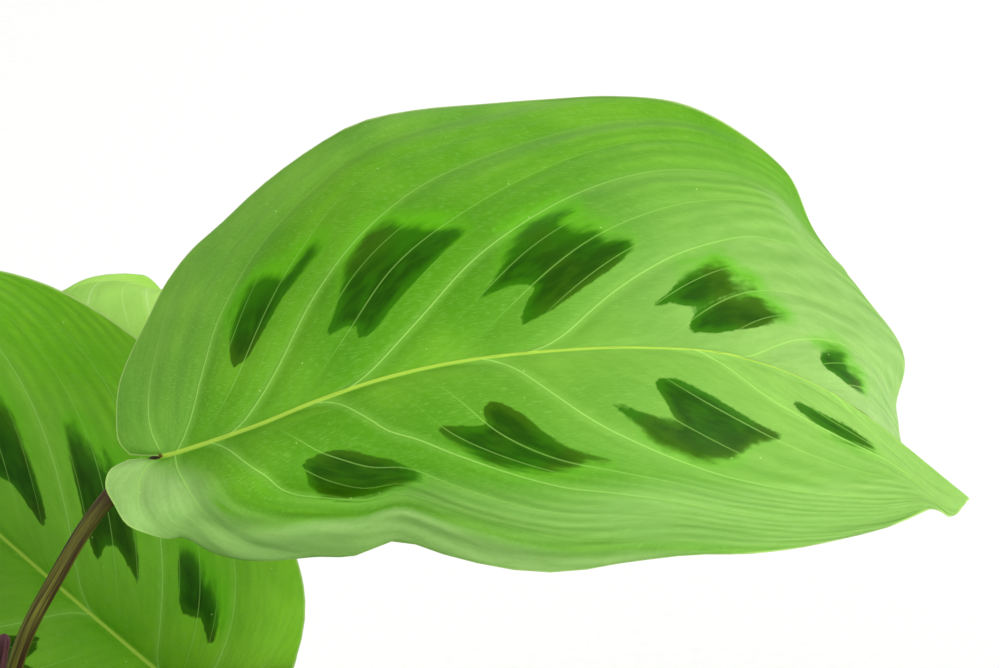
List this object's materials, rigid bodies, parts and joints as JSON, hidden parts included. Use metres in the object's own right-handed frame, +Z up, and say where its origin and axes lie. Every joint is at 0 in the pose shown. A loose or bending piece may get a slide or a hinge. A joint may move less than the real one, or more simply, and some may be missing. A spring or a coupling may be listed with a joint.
{
  "type": "potted prayer plant maranta",
  "caption": "Prayer plant with oval blotched leaves arching on thin sheathed stalks, growing in soil in a plain tapered round clay pot.",
  "frame": {"origin": "centre of the pot's flat underside, on the surface that the pot stands on", "axes": "+Z up along the pot's axis; +X to the right and +Y away from the viewer as the picture sees the plant"},
  "size_m": [0.3125, 0.3018, 0.2692],
  "materials": {
    "pot_clay": "unglazed fired clay, matte",
    "soil": "damp crumbly potting soil of peat and bark",
    "stalk": "green-brown fibrous leaf stalk, satin",
    "leaf": "thin living leaf, satin, with dark blotches between the side veins",
    "young_leaf": "thin young leaf, lime green, satin"
  },
  "bodies": {
    "root": {"pot": "pot_clay", "soil": "soil", "front_leaf_blade": "leaf", "back_left_large_blade": "leaf", "back_young_blade": "young_leaf", "upper_left_blade": "leaf", "upper_front_left_blade": "leaf", "upper_front_blade": "leaf", "upper_right_blade": "leaf", "back_right_blade": "leaf", "back_blade": "leaf", "back_left_blade": "leaf", "middle_1_blade": "leaf", "middle_2_blade": "leaf", "middle_3_blade": "leaf", "middle_4_blade": "leaf", "middle_5_blade": "leaf", "low_1_blade": "leaf", "low_2_blade": "leaf", "low_3_blade": "leaf", "low_4_blade": "leaf", "low_5_blade": "leaf", "low_6_blade": "leaf", "low_7_blade": "leaf", "low_8_blade": "leaf", "shoot_1_stalks": "stalk", "shoot_2_stalks": "stalk", "shoot_3_stalks": "stalk", "shoot_4_stalks": "stalk", "shoot_5_stalks": "stalk", "shoot_6_stalks": "stalk"}
  },
  "joints": []
}
